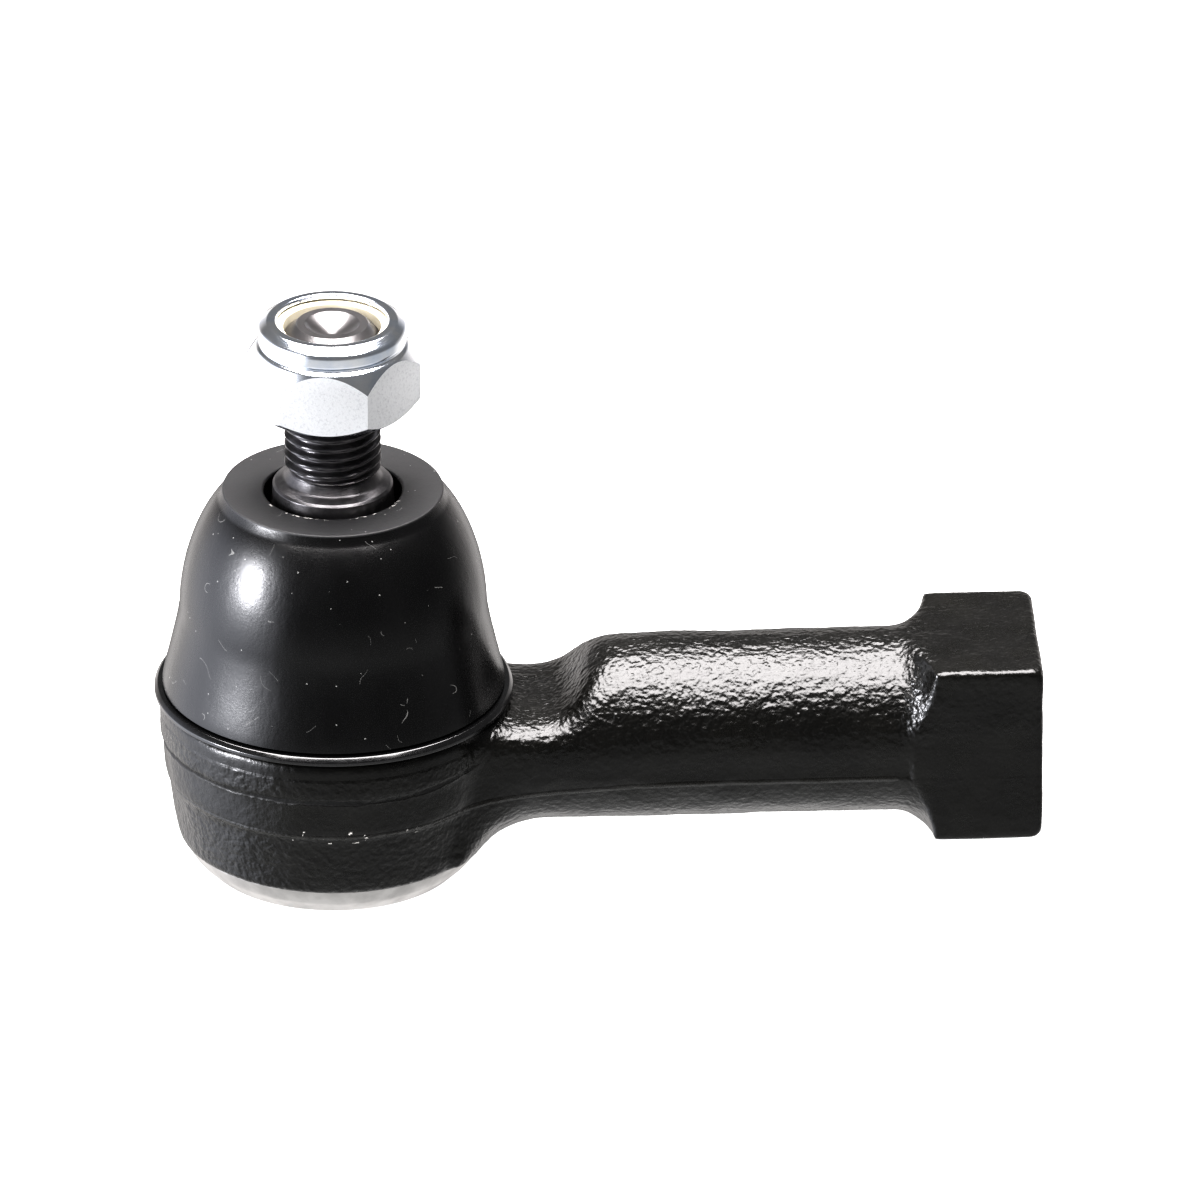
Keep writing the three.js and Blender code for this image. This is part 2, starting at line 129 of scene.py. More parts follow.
class TIEROD_PG_studio(bpy.types.PropertyGroup):
    distance: length("Camera distance", "From the camera to the stud", 4000)
    floor: colour("Floor", "Pale studio floor", (0.3, 0.3, 0.3))


# -------------------------------- modelling helpers

def pick(*objects):
    """Selects these objects alone, with the first active."""
    bpy.ops.object.select_all(action="DESELECT")
    for thing in objects:
        thing.select_set(True)
    bpy.context.view_layer.objects.active = objects[0]


def edit(thing):
    """Opens a mesh for editing, with everything selected."""
    pick(thing)
    bpy.ops.object.mode_set(mode="EDIT")
    bpy.ops.mesh.select_all(action="SELECT")


def done():
    bpy.ops.object.mode_set(mode="OBJECT")


def finish_shape(thing, angle=30):
    """Shades a shape smooth, but for edges sharper than the angle in degrees."""
    pick(thing)
    bpy.ops.object.shade_smooth_by_angle(angle=math.radians(angle))
    return thing


def modify(thing, kind, **settings):
    """Adds a modifier with these settings and applies it."""
    pick(thing)
    bpy.ops.object.modifier_add(type=kind)
    modifier = thing.modifiers[-1]
    for key, value in settings.items():
        setattr(modifier, key, value)
    bpy.ops.object.modifier_apply(modifier=modifier.name)


def combine(thing, other, operation):
    """Joins, cuts or intersects two closed shapes, and uses up the second."""
    modify(thing, "BOOLEAN", object=other, operation=operation, solver="MANIFOLD")
    bpy.data.objects.remove(other, do_unlink=True)


def arc(centre_a, centre_b, radius, start, end, steps=12):
    """Points round a centre in an outline's plane, with the angles in radians."""
    angles = [start + (end - start) * i / steps for i in range(steps + 1)]
    return [(centre_a + radius * math.cos(a), centre_b + radius * math.sin(a)) for a in angles]


def rounded(corners, steps=4):
    """An outline from (a, b) or (a, b, radius) corners, those with a radius turned to arcs."""
    outline = []
    count = len(corners)
    for i, corner in enumerate(corners):
        here = Vector(corner[:2])
        radius = corner[2] if len(corner) > 2 else 0
        if not radius:
            outline.append(tuple(here))
            continue
        back = (Vector(corners[i - 1][:2]) - here).normalized()
        ahead = (Vector(corners[(i + 1) % count][:2]) - here).normalized()
        half = back.angle(ahead) / 2
        reach = radius / math.tan(half)
        centre = here + (back + ahead).normalized() * radius / math.sin(half)
        first = here + back * reach - centre
        last = here + ahead * reach - centre
        sweep = first.angle_signed(last)
        for step in range(steps + 1):
            turn = -sweep * step / steps
            cos, sin = math.cos(turn), math.sin(turn)
            outline.append((centre.x + first.x * cos - first.y * sin,
                            centre.y + first.x * sin + first.y * cos))
    return outline


def outline_object(name, points):
    """A closed wire through 3D points, in order."""
    bpy.ops.object.select_all(action="DESELECT")
    bpy.ops.mesh.primitive_circle_add(vertices=len(points), radius=1)
    wire = bpy.context.object
    wire.name = wire.data.name = name
    for vertex, point in zip(wire.data.vertices, points):
        vertex.co = point
    return wire


def turned(name, outline, steps=128, shank_axis=None):
    """A shape of revolution from an outline of (radius, height) in metres, about the stud's axis, or
    of (radius, reach) about an axis along +X at the height shank_axis."""
    if shank_axis is None:
        points, axis, centre = [(r, 0, h) for r, h in outline], (0, 0, 1), (0, 0, 0)
    else:
        points, axis = [(h, 0, shank_axis + r) for r, h in outline], (1, 0, 0)
        centre = (0, 0, shank_axis)
    shape = outline_object(name, points)
    edit(shape)
    bpy.ops.mesh.spin(steps=steps, angle=TURN, center=centre, axis=axis)
    bpy.ops.mesh.select_all(action="SELECT")
    bpy.ops.mesh.remove_doubles(threshold=1e-7)
    bpy.ops.mesh.delete_loose(use_verts=True, use_edges=True, use_faces=False)
    bpy.ops.mesh.select_all(action="SELECT")
    bpy.ops.mesh.dissolve_degenerate(threshold=1e-8)
    bpy.ops.mesh.normals_make_consistent(inside=False)
    done()
    return shape


def prism(name, points, sweep):
    """A closed shape from a flat outline of 3D points, swept along a vector."""
    shape = outline_object(name, points)
    edit(shape)
    bpy.ops.mesh.edge_face_add()
    bpy.ops.mesh.extrude_region_move(TRANSFORM_OT_translate={"value": sweep})
    bpy.ops.mesh.select_all(action="SELECT")
    bpy.ops.mesh.normals_make_consistent(inside=False)
    done()
    return shape


def smooth_step(low, high, value):
    """0 below low, 1 above high, and an even curve between them."""
    t = min(max((value - low) / (high - low), 0), 1)
    return t * t * (3 - 2 * t)


def thread_tooth(phase):
    """Height of a 60 degree thread over one pitch: 0 at the root, 1 along the crest."""
    slope = abs(2 * (phase % 1) - 1)
    straight = min(max((slope - 0.2) / 0.66, 0), 1)
    return smooth_step(0.2, 0.86, slope) * 0.5 + straight * 0.5


def place(piece, finish, body, slot, *nodes):
    """Coats a piece and puts it on its body, in place of the CAD nodes. The slot is not used."""
    coat(piece, finish)
    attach(piece, body)
    if nodes:
        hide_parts(*nodes)


# -------------------------------- shader helpers

class Value:
    """A number in a shader. Arithmetic on values adds the Math nodes."""

    def __init__(self, finish, socket):
        self.finish = finish
        self.socket = socket

    def math(self, operation, first, second=None):
        inputs = {0: first} if second is None else {0: first, 1: second}
        return self.finish.node("ShaderNodeMath", inputs, operation=operation)

    def __add__(self, other):
        return self.math("ADD", self, other)

    __radd__ = __add__

    def __sub__(self, other):
        return self.math("SUBTRACT", self, other)

    def __rsub__(self, other):
        return self.math("SUBTRACT", other, self)

    def __mul__(self, other):
        return self.math("MULTIPLY", self, other)

    __rmul__ = __mul__

    def __truediv__(self, other):
        return self.math("DIVIDE", self, other)

    def __pow__(self, other):
        return self.math("POWER", self, other)

    def __gt__(self, other):
        return self.math("GREATER_THAN", self, other)

    def __lt__(self, other):
        return self.math("LESS_THAN", self, other)

    def sqrt(self):
        return self.math("SQRT", self)

    def size(self):
        return self.math("ABSOLUTE", self)

    def between(self, low, high):
        """0 below low, 1 above high, and an even slope between them."""
        return self.finish.node("ShaderNodeMapRange", {
            "Value": self, "From Min": low, "From Max": high}, output="Result", clamp=True)


class Finish:
    """A material whose nodes are made through one method."""

    def __init__(self, name, sky=None):
        if sky:
            self.tree = sky
            self.place = self.node("ShaderNodeTexCoord", output="Generated")
            return
        self.material = bpy.data.materials.new(name)
        self.material.use_nodes = True
        self.tree = self.material.node_tree
        self.shader = self.tree.nodes["Principled BSDF"]
        self.place = self.node("ShaderNodeTexCoord", output="Object")

    def node(self, kind, inputs=None, output=0, **settings):
        made = self.tree.nodes.new(kind)
        stops = settings.pop("stops", None)
        for key, value in settings.items():
            setattr(made, key, value)
        if stops:
            ramp = made.color_ramp
            while len(ramp.elements) < len(stops):
                ramp.elements.new(0.5)
            for element, (position, tint) in zip(ramp.elements, stops):
                element.position = position
                element.color = (*tint, 1)
        for key, value in (inputs or {}).items():
            self.feed(made.inputs[key], value)
        return Value(self, made.outputs[output])

    def feed(self, socket, value):
        if isinstance(value, Value):
            self.tree.links.new(value.socket, socket)
        elif hasattr(value, "__len__") and socket.type == "RGBA":
            socket.default_value = (*value[:3], 1)
        else:
            socket.default_value = value

    def set(self, **sockets):
        """Feeds the shader's sockets, named with underscores for spaces."""
        for key, value in sockets.items():
            self.feed(self.shader.inputs[key.replace("_", " ").title().replace("Ior", "IOR")], value)
        return self

    def spot(self, scale, seed):
        """Where a texture is read: the place, scaled, and moved by the seed."""
        moved = (seed, seed * 0.7, seed * 0.3)
        return self.node("ShaderNodeMapping", {
            "Vector": self.place, "Location": moved, "Scale": scale}, output="Vector")

    def noise(self, size, detail=3, roughness=0.55, stretch=(1, 1, 1), seed=0):
        """Noise from 0 to 1 whose features measure about size metres."""
        scale = tuple(1 / size * s for s in stretch)
        return self.node("ShaderNodeTexNoise", {
            "Vector": self.spot(scale, seed), "Scale": 1.0, "Detail": detail,
            "Roughness": roughness}, output="Fac")

    def cells(self, size, seed=0):
        """Distance to the nearest of points strewn about size metres apart, in sizes."""
        return self.node("ShaderNodeTexVoronoi", {
            "Vector": self.spot((1 / size,) * 3, seed), "Scale": 1.0}, output="Distance")

    def axis(self, name):
        return self.node("ShaderNodeSeparateXYZ", {"Vector": self.place}, output=name)

    def radius(self):
        """Distance from the stud's axis."""
        return (self.axis("X") ** 2 + self.axis("Y") ** 2).sqrt()

    def along(self, x, y, z):
        """How far the place lies along a direction."""
        return self.axis("X") * x + self.axis("Y") * y + self.axis("Z") * z

    def attribute(self, name):
        return self.node("ShaderNodeAttribute", output="Fac", attribute_name=name)

    def mix(self, share, first, second):
        """A colour between two, by a share from 0 to 1."""
        mixed = self.tree.nodes.new("ShaderNodeMix")
        mixed.data_type = "RGBA"
        for key, value in ((0, share), (6, first), (7, second)):
            self.feed(mixed.inputs[key], value)
        return Value(self, mixed.outputs[2])

    def bump(self, height, depth, strength=1.0, under=None):
        """A Bump node for a height from 0 to 1 that stands depth metres tall."""
        inputs = {"Height": height, "Distance": depth, "Strength": strength}
        if under is not None:
            inputs["Normal"] = under
        return self.node("ShaderNodeBump", inputs, output="Normal")


def scaled(tint, share):
    """A tint made darker, or paler, by a share."""
    return tuple(c * share for c in tint)


def coat(piece, finish):
    """Gives a piece one material and nothing else."""
    piece.data.materials.clear()
    piece.data.materials.append(finish.material)


# -------------------------------- finishes

COARSE = "coarse_skin"              # how coarse the forged skin is at each vertex
LOW_LINE = "from_low_line"          # distance of each vertex from the lower and the upper shear line
HIGH_LINE = "from_high_line"
FLATS = "wrench_flat"               # 1 on the nut's flats and 0 where it was turned


def painted_forging(paint):
    """Gloss black paint over the forged skin, with the flash's shear lines, painted shade darkening the
    upper line's groove, and a few chipped spots.
    """
    f = Finish("painted_forging")
    coarse = f.attribute(COARSE)
    front = 1 - (f.axis("X") - MM).size().between(6 * MM, 9 * MM)
    low = f.attribute(LOW_LINE) / MM
    high = f.attribute(HIGH_LINE) / MM
    hills = f.noise(2 * MM, detail=1, seed=3)
    peel = f.noise(0.72 * MM, detail=1, roughness=0.4, seed=11)
    grit = f.noise(0.3 * MM, detail=2, seed=7)
    ridge = 1 - low.size().between(0.1, 0.42)
    groove = 1 - (high + (hills - 0.5) * 0.6).size().between(0.15, 0.42)
    chips = (1 - (low - 0.5).size().between(0.3, 0.5)) * (f.noise(1.1 * MM, detail=3, seed=41) > 0.66)
    cloud = f.noise(9 * MM, detail=4, seed=19)
    dulled = f.mix(cloud.between(0.45, 0.75), paint, scaled(paint, 2.2))
    # Paler along the lower line's ridge, and darker in the upper line's groove: painted shade where that
    # step falls into shadow.
    lined_and_shaded = f.mix(ridge * 0.6, f.mix(groove, dulled, scaled(paint, 0.3)), (0.016, 0.0155, 0.014))
    tint = f.mix(chips * front, lined_and_shaded, (0.45, 0.44, 0.42))
    rough = 0.21 + 0.1 * f.noise(5 * MM, detail=4, seed=5) + 0.05 * grit + 0.4 * groove
    pits = (hills * 0.3 + peel * 0.7) * coarse
    relief = f.bump(grit * 0.6 + peel * 0.4, 0.05 * MM, under=f.bump(pits, 0.3 * MM))
    lines = f.bump(ridge * 0.4 - groove * 0.5, 0.25 * MM, under=relief)
    return f.set(base_color=tint, roughness=rough, normal=lines)


def bare_steel(name, tint, rings=True):
    """Machined steel: fine rings round the stud's axis, with slight stains."""
    f = Finish(name)
    if rings:
        ring = 0.09 * MM
        spot = f.node("ShaderNodeCombineXYZ", {"X": f.radius() / ring, "Z": f.axis("Z") / ring})
        grooves = f.node("ShaderNodeTexNoise", {"Vector": spot, "Scale": 1.0, "Detail": 2.0}, output="Fac")
    else:
        grooves = f.noise(0.3 * MM)
    stain = f.noise(3 * MM, detail=5, seed=2)
    dull = f.mix(stain.between(0.4, 0.75), tint, scaled(tint, 0.72))
    return f.set(base_color=dull, metallic=1.0, roughness=0.27 + 0.15 * stain + 0.08 * grooves,
                 normal=f.bump(grooves, 0.008 * MM))


def phosphated_steel(tint, grey_above):
    """Black phosphate, rubbed grey on the end of the stud."""
    f = Finish("phosphated_steel")
    grain = f.noise(0.18 * MM, detail=3, seed=4)
    patches = f.noise(2.4 * MM, detail=4, seed=9)
    radius = f.radius()
    worn = (f.axis("Z") > grey_above - 2 * MM) * (1 - radius.between(5.2 * MM, 5.6 * MM))
    dark = f.mix(patches.between(0.35, 0.7), tint, scaled(tint, 1.9))
    rubbed = f.mix(worn * (0.8 + 0.2 * patches), dark, (0.15, 0.145, 0.145))
    return f.set(base_color=rubbed, metallic=0.9, roughness=0.2 + 0.12 * patches + 0.1 * grain,
                 normal=f.bump(grain, 0.012 * MM))


def zinc_plate(tint):
    """Bright zinc, faintly blue: matt and mottled on the flats, glossy where it was turned, with darker
    bluish clouds there that are a painted reflection.
    """
    f = Finish("zinc_plate")
    flats = f.attribute(FLATS)
    grain = f.noise(0.35 * MM, detail=4, roughness=0.65, seed=6)
    cloud = f.noise(3.5 * MM, detail=3, seed=8)
    # Darker bluish clouds on the glossy turned surfaces: a painted reflection.
    zinc_with_painted_reflection = f.mix(cloud.between(0.4, 0.7) * (1 - flats), tint, (0.74, 0.8, 0.9))
    matt = f.mix(flats * 0.8, zinc_with_painted_reflection, (0.88, 0.89, 0.9))
    speckled = f.mix(grain.between(0.5, 0.85) * flats, matt, (0.62, 0.63, 0.65))
    return f.set(base_color=speckled, metallic=1.0,
                 roughness=0.13 + 0.05 * cloud + flats * (0.27 + 0.12 * grain),
                 normal=f.bump(grain * (0.15 + 0.85 * flats), 0.03 * MM))


def moulded_plastic(name, tint):
    """Plain plastic with a fine grain."""
    f = Finish(name)
    speckle = f.noise(0.5 * MM, detail=3, seed=5)
    shade = f.mix(f.noise(4 * MM, seed=2).between(0.4, 0.7), tint, scaled(tint, 0.86))
    return f.set(base_color=shade, roughness=0.38 + 0.18 * speckle, normal=f.bump(speckle, 0.015 * MM))


def spring_steel():
    """Grey hardened steel with darker clouds."""
    f = Finish("spring_steel")
    grain = f.noise(0.3 * MM, detail=3, seed=12)
    cloud = f.noise(2 * MM, detail=4)
    tint = f.mix(cloud.between(0.4, 0.7), (0.24, 0.25, 0.27), (0.17, 0.16, 0.16))
    return f.set(base_color=tint, metallic=1.0, roughness=0.28 + 0.2 * grain,
                 normal=f.bump(grain, 0.01 * MM))


def ring_coat(tint):
    """Glossy dark coating on the ring under the boot."""
    f = Finish("ring_coat")
    speckle = f.noise(0.6 * MM, detail=3, seed=13)
    return f.set(base_color=f.mix(speckle.between(0.5, 0.8), tint, scaled(tint, 1.7)),
                 roughness=0.12 + 0.1 * speckle, normal=f.bump(speckle, 0.006 * MM), specular_ior_level=0.9)


def boot_rubber(tint, top_height):
    """Satin rubber: a duller, paler flat top, faint moulding flow, and specks and fibres of dust."""
    f = Finish("boot_rubber")
    height = f.axis("Z")
    radius = f.radius()
    top = height.between(top_height - 0.28 * MM, top_height - 0.12 * MM)
    flow = f.noise(7 * MM, detail=4, stretch=(1, 1, 0.5), seed=21)
    grain = f.noise(0.3 * MM, detail=3, seed=14)
    specks = (f.cells(1.6 * MM, seed=5) < 0.065) * (f.noise(6 * MM, seed=31) > 0.46)
    thread = (f.noise(2.6 * MM, detail=0, seed=51) - 0.5).size() < 0.006
    fibres = thread * (f.cells(4.6 * MM, seed=9) < 0.24)
    by_stud = (radius < 9.1 * MM) * (height > top_height - 2 * MM) * (f.axis("Y") < -4 * MM)
    crumbs = by_stud * (f.noise(0.8 * MM, detail=2, seed=61) > 0.6)
    side = f.mix(flow.between(0.35, 0.75), tint, scaled(tint, 2.2))
    ground = f.mix(grain.between(0.3, 0.8), (0.009, 0.009, 0.0095), (0.014, 0.014, 0.0145))
    rubber = f.mix(top, side, ground)
    dusty = f.mix((specks * 0.5 + fibres * 0.28).between(0, 1), rubber, (0.3, 0.3, 0.29))
    rough = 0.2 + 0.1 * flow + 0.05 * grain + top * 0.3
    relief = f.bump(grain, 0.012 * MM, under=f.bump(flow, 0.12 * MM))
    strewn = f.mix(crumbs * 0.8, dusty, (0.4, 0.39, 0.37))
    return f.set(base_color=strewn, roughness=rough, normal=relief)


# -------------------------------- forging

SHANK_HEIGHT = 16.8 * MM            # of the shank's axis, with the block evenly above and below it
NECK_FLAT = 4.5 * MM                # the flat over the neck, above the shank's axis
SHOULDER = RING_LOW.z - 0.3 * MM    # where the boot's ring rests
SPIGOT_TOP = SHOULDER + 3.2 * MM    # the rim that stands up inside the ring
WALL = 20.5 * MM                    # radius of the socket where the neck meets it
SOCKET_REACH = 22 * MM              # the socket lies within this radius of the stud's axis


def socket_shape():
    """The outside of the socket, from the painted edge above the rolled lip to the spigot."""
    return turned("housing", rounded([
        (0, 3.8 * MM),
        (19.2 * MM, 3.8 * MM, 0.4 * MM),
        (19.6 * MM, 6.1 * MM, 4 * MM),
        (WALL, 12.2 * MM, 0.3 * MM),
        (20.95 * MM, 12.65 * MM, 0.3 * MM),
        (21.25 * MM, 17.6 * MM, 0.2 * MM),
        (21.5 * MM, 18 * MM, 0.3 * MM),
        (21.5 * MM, SHOULDER, 0.8 * MM),
        (15 * MM, SHOULDER),
        (15 * MM, SPIGOT_TOP),
        (0, SPIGOT_TOP),
    ]), steps=192)


def arm_shape(s):
    """The shank with its wrench block: a turned bar, squared at its end and flattened over the neck."""
    axis = SHANK_HEIGHT
    reach = HOUSING_HIGH.x
    radius = s.shank_diameter / 2
    start = reach - s.block_length
    half = s.block_across / 2
    corner = half * math.sqrt(2)
    fillet, end_bevel = 4.5 * MM, 1.2 * MM
    bar = turned("arm", [
        (0, 0), (radius, 0),
        *arc(radius + fillet, start - fillet, fillet, math.pi, math.pi / 2, 10),
        (corner, start), (corner, reach - end_bevel), (corner - end_bevel, reach), (0, reach),
    ], steps=160, shank_axis=axis)
    corners = [(-MM, y * half, axis + z * half) for y, z in ((-1, -1), (1, -1), (1, 1), (-1, 1))]
    square = prism("square", corners, (reach + 2 * MM, 0, 0))
    combine(bar, square, "INTERSECT")
    modify(bar, "BEVEL", width=MM, segments=3, limit_method="ANGLE", angle_limit=math.radians(60))
    flat = axis + NECK_FLAT
    clear = axis + radius + MM
    rise = [(27.2 * MM + 6.2 * MM * t, flat + (axis + radius - flat) * smooth_step(0, 1, t))
            for t in (i / 12 for i in range(13))]
    side = [(-MM, flat), *rise, (33.4 * MM, clear), (-MM, clear)]
    combine(bar, prism("neck_cut", [(x, -20 * MM, z) for x, z in side], (0, 40 * MM, 0)), "DIFFERENCE")
    return bar


def neck_shape(s):
    """The fillets by which the neck widens into the socket."""
    axis = SHANK_HEIGHT
    radius = s.shank_diameter / 2
    fillet = 9 * MM
    centre_x = math.sqrt((WALL + fillet) ** 2 - (radius + fillet) ** 2)
    touch = math.atan2(radius + fillet, centre_x)
    side = arc(centre_x, radius + fillet, fillet, -math.pi / 2, touch - math.pi, 10)
    end = 28 * MM
    plan = [(0, -radius), *[(x, -y) for x, y in reversed(side)], (end, -radius),
            (end, radius), *side, (0, radius)]
    low, high = 4.4 * MM, axis + NECK_FLAT
    neck = prism("neck", [(x, y, low) for x, y in plan], (0, 0, high - low))
    start = WALL - fillet / 2
    trumpet = turned("trumpet", [
        (0, 0), (radius + fillet, 0),
        *arc(radius + fillet, start + fillet, fillet, 1.5 * math.pi, math.pi, 10),
        (radius, end + MM), (0, end + MM)], steps=128, shank_axis=axis)
    combine(neck, trumpet, "INTERSECT")
    return neck


def socket_room():
    """The hollow for the ball, its seats and the closing plate."""
    ball_room = UPPER_HIGH.x + 0.3 * MM
    plate_room = PLATE_HIGH.x + 0.3 * MM
    throat = math.radians(50)
    mouth, ledge, clear = 11.24 * MM, 4.1 * MM, SPIGOT_TOP + 5 * MM
    return turned("room", [
        (0, -MM), (plate_room, -MM), (plate_room, ledge), (ball_room, ledge),
        *arc(0, BALL_HEIGHT, ball_room, 0, math.pi / 2 - throat, 10),
        (mouth, SPIGOT_TOP), (mouth + 2 * MM, clear), (0, clear)], steps=96)


def weigh(thing, name, weight):
    """A vertex group whose weight comes from a function of each vertex's place."""
    group = thing.vertex_groups.new(name=name)
    for vertex in thing.data.vertices:
        share = weight(vertex.co)
        if share > 0:
            group.add([vertex.index], share, "REPLACE")
    return group.name


def mark(thing, name, measure):
    """A number at each vertex for the finish to read."""
    values = thing.data.attributes.new(name, "FLOAT", "POINT")
    values.data.foreach_set("value", [measure(vertex.co) for vertex in thing.data.vertices])


def near_neck(co):
    """Where the forging's radii are wide: round the neck and at the foot of the shank."""
    across = math.hypot(co.x, co.y)
    return smooth_step(19.5 * MM, 21.5 * MM, across) * (1 - smooth_step(35 * MM, 40 * MM, co.x)) * (
        smooth_step(14 * MM, 18 * MM, co.x))


def shear_lines(co):
    """Heights of the two lines where the flash was sheared off: level round the socket, and rising
    along the shank."""
    up = 1.3 * MM * smooth_step(17 * MM, 45 * MM, co.x)
    return 12.5 * MM + up, 17.55 * MM + 0.65 * MM * smooth_step(8 * MM, 17 * MM, co.x) + up


def beside_flash(co):
    """1 between the two shear lines and 0 past them."""
    low, high = shear_lines(co)
    return smooth_step(low - 0.2 * MM, low + 0.3 * MM, co.z) * (
        1 - smooth_step(high - 0.9 * MM, high + 0.9 * MM, co.z))


def apart(height, faded):
    """The distance from a line, kept from zero where the line has faded."""
    return abs(height) + faded * MM


def coarse_skin(co):
    """How coarse the skin is: rough on the shank, finer on the block and socket, smooth where sheared."""
    shank = smooth_step(19 * MM, 24 * MM, co.x) * (1 - 0.6 * smooth_step(72 * MM, 76 * MM, co.x))
    machined = smooth_step(20.3 * MM, 20.9 * MM, co.z) * (math.hypot(co.x, co.y) < SOCKET_REACH)
    underside = 0.5 * shank * (1 - smooth_step(13 * MM, 19 * MM, co.z))
    block = 0.4 * smooth_step(71 * MM, 75 * MM, co.x)
    return (0.7 + 0.3 * shank - underside - block) * (1 - 0.6 * beside_flash(co)) * (1 - 0.9 * machined)


def trim_flash(body, s):
    """Shears both sides of the shank back at the lower line, dying out towards the upper one."""
    side = s.shank_diameter / 2 - 0.35 * MM
    for vertex in body.data.vertices:
        co = vertex.co
        if 24 * MM < co.x < 71 * MM and abs(co.y) > side:
            low, high = shear_lines(co)
            share = smooth_step(low - 0.2 * MM, low + 0.3 * MM, co.z) * (
                1 - smooth_step(low + 0.5 * MM, high, co.z))
            co.y += share * (math.copysign(side, co.y) - co.y)


def hills(name, size):
    """A texture of hills that measure about size metres."""
    texture = bpy.data.textures.new(name, type="CLOUDS")
    texture.noise_scale = size
    texture.noise_depth = 1
    return texture


def forged_body(s):
    """The whole forging: its shapes fused, smoothed and given a skin, then hollowed and drilled."""
    body = socket_shape()
    combine(body, arm_shape(s), "UNION")
    combine(body, neck_shape(s), "UNION")
    modify(body, "REMESH", mode="VOXEL", voxel_size=s.grain)
    modify(body, "SMOOTH", factor=0.5, iterations=8)
    wide = weigh(body, "wide_radii", near_neck)
    modify(body, "SMOOTH", factor=0.5, iterations=220, vertex_group=wide)
    skin = weigh(body, "skin", lambda co: smooth_step(4.3 * MM, 6 * MM, co.z) * (
        1 - smooth_step(22 * MM, 22.6 * MM, co.z) * (math.hypot(co.x, co.y) < SOCKET_REACH)))
    rough_skin = weigh(body, "rough_skin", coarse_skin)
    reliefs = (("swells", 6 * MM, 0.3 * MM, skin), ("pits", MM, 0.13 * MM, rough_skin))
    for name, size, strength, where in reliefs:
        modify(body, "DISPLACE", texture=hills(name, size), strength=strength, mid_level=0.5,
               texture_coords="LOCAL", vertex_group=where)
    trim_flash(body, s)
    combine(body, socket_room(), "DIFFERENCE")
    drill, past = 7.3 * MM, HOUSING_HIGH.x + 0.6 * MM
    hole = turned("rod_hole", [
        (0, 42.4 * MM), (drill, 45.2 * MM), (drill, 86.2 * MM), (8.2 * MM, past), (0, past)],
        steps=96, shank_axis=SHANK_HEIGHT)
    combine(body, hole, "DIFFERENCE")
    body.vertex_groups.clear()
    mark(body, COARSE, coarse_skin)
    mark(body, LOW_LINE, lambda co: apart(co.z - shear_lines(co)[0], smooth_step(69 * MM, 71 * MM, co.x)))
    mark(body, HIGH_LINE, lambda co: apart(co.z - shear_lines(co)[1], smooth_step(15 * MM, 21 * MM, co.x)))
    return finish_shape(body, 50)


def rolled_lip():
    """The bare rim at the foot of the socket, rolled in over the closing plate."""
    seat = PLATE_HIGH.x + 0.3 * MM
    return finish_shape(turned("housing_lip", rounded([
        (12.4 * MM, 0.5 * MM, 0.3 * MM),
        (13.2 * MM, 0, 0.5 * MM),
        (15.85 * MM, 0, 0.5 * MM),
        (17.75 * MM, 1.9 * MM, 3 * MM),
        (18.98 * MM, 4.05 * MM, 0.15 * MM),
        (18.6 * MM, 4.4 * MM),
        (17 * MM, 4.4 * MM),
        (seat + 0.1 * MM, 3.9 * MM),
        (seat + 0.1 * MM, 1.7 * MM),
        (12.4 * MM, 1.7 * MM, 0.3 * MM),
    ]), steps=192), 40)


def rod_thread():
    """The M14 x 1.5 thread in the shank, as the skin of its hole."""
    axis = SHANK_HEIGHT
    pitch, major, minor = 1.5 * MM, 7.05 * MM, 6.19 * MM
    deep, mouth = 45.6 * MM, HOUSING_HIGH.x - 1.1 * MM
    rows = int((mouth - deep) / pitch * 10)
    bore = [(minor, mouth + (deep - mouth) * i / rows) for i in range(rows + 1)]
    outer = 7.32 * MM
    sleeve = turned("rod_thread", [
        (outer, deep - MM), (outer, mouth), (7.35 * MM, mouth + 0.35 * MM),
        (7.1 * MM, mouth + 0.2 * MM), *bore, (minor, deep - MM)], steps=72, shank_axis=axis)
    for vertex in sleeve.data.vertices:
        x, y, z = vertex.co.x, vertex.co.y, vertex.co.z - axis
        across = math.hypot(y, z)
        if across > minor + 0.05 * MM:
            continue
        tooth = thread_tooth(x / pitch + math.atan2(z, y) / TURN)
        fade = smooth_step(deep, deep + 2 * MM, x)
        cone = max(0, x - (mouth - 0.5 * MM)) * 0.8
        grown = (minor + (major - minor) * (1 - tooth) * fade + cone) / across
        vertex.co.y, vertex.co.z = y * grown, axis + z * grown
    return finish_shape(sleeve, 40)


class TIEROD_OT_forging(bpy.types.Operator):
    """Models the forged housing with its rolled lip and the thread for the rod"""

    bl_idname = "tierod.forging"
    bl_label = "Forging"

    def execute(self, context):
        s = context.scene.tierod_forging
        body, lip, sleeve = forged_body(s), rolled_lip(), rod_thread()
        place(body, painted_forging(s.paint), "body_housing", "painted_forging", "housing")
        place(lip, bare_steel("lip_steel", tuple(s.bare)), "body_housing", "bare_steel")
        dark_steel = bare_steel("thread_steel", (0.3, 0.3, 0.31), rings=False)
        place(sleeve, dark_steel, "body_housing", "bare_steel")
        return {"FINISHED"}


# -------------------------------- ball joint inside the socket

